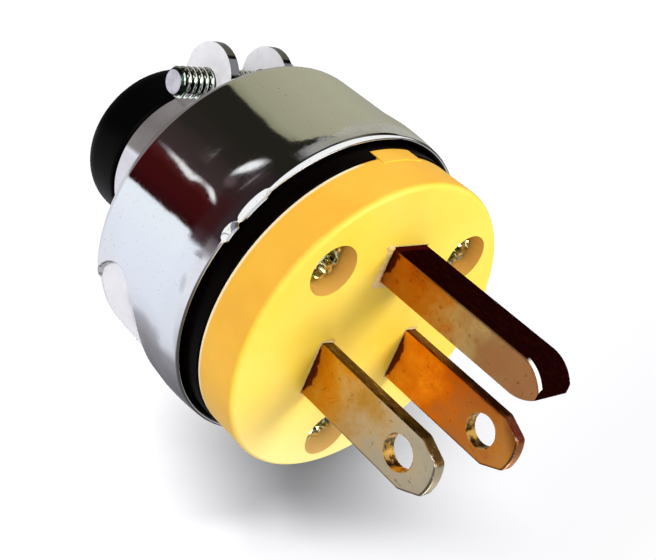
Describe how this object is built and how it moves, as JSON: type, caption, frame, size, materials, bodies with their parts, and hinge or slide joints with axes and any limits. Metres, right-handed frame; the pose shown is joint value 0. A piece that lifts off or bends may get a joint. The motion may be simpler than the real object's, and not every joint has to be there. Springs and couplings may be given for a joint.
{
  "type": "armoured grounding plug",
  "caption": "Straight-blade grounding power plug: yellow moulded face with two flat blades and a folded ground pin, plated steel shell, rubber cord bushing held by a two-part steel clamp.",
  "frame": {"origin": "on the plug's axis at the rear end of the rubber cord bushing, on which the plug stands", "axes": "+Z along the axis towards the blade tips, +Y from the blade line towards the ground pin, +X from the neutral blade to the hot blade"},
  "size_m": [0.038, 0.038, 0.063],
  "materials": {
    "shell_plate": "bright plated drawn steel",
    "black_moulding": "black moulded insulator",
    "yellow_moulding": "yellow moulded body, soft gloss",
    "neutral_metal": "tarnished nickel plate over brass",
    "hot_brass": "tarnished brass",
    "ground_brass": "tarnished brass",
    "screw_brass": "bright brass",
    "screw_nickel": "nickel plated",
    "screw_green": "green dyed zinc plate",
    "black_rubber": "moulded rubber",
    "clamp_steel": "zinc plated pressed steel",
    "clamp_zinc": "zinc plated screw"
  },
  "bodies": {
    "root": {"steel_shell": "shell_plate", "insulating_cup": "black_moulding", "front_body": "yellow_moulding", "blade_retainer": "black_moulding", "neutral_blade": "neutral_metal", "hot_blade": "hot_brass", "ground_pin": "ground_brass", "face_screw_left": "screw_brass", "face_screw_right": "screw_brass", "face_screw_low": "screw_brass", "neutral_screw": "screw_nickel", "hot_screw": "screw_brass", "ground_screw": "screw_green", "neutral_plate": "screw_nickel", "hot_plate": "hot_brass", "ground_plate": "ground_brass", "retainer_screw_left": "screw_nickel", "retainer_screw_right": "screw_nickel", "cord_bushing": "black_rubber", "clamp_half_left": "clamp_steel", "clamp_half_right": "clamp_steel", "clamp_screw_top": "clamp_zinc", "clamp_screw_low": "clamp_zinc"}
  },
  "joints": []
}
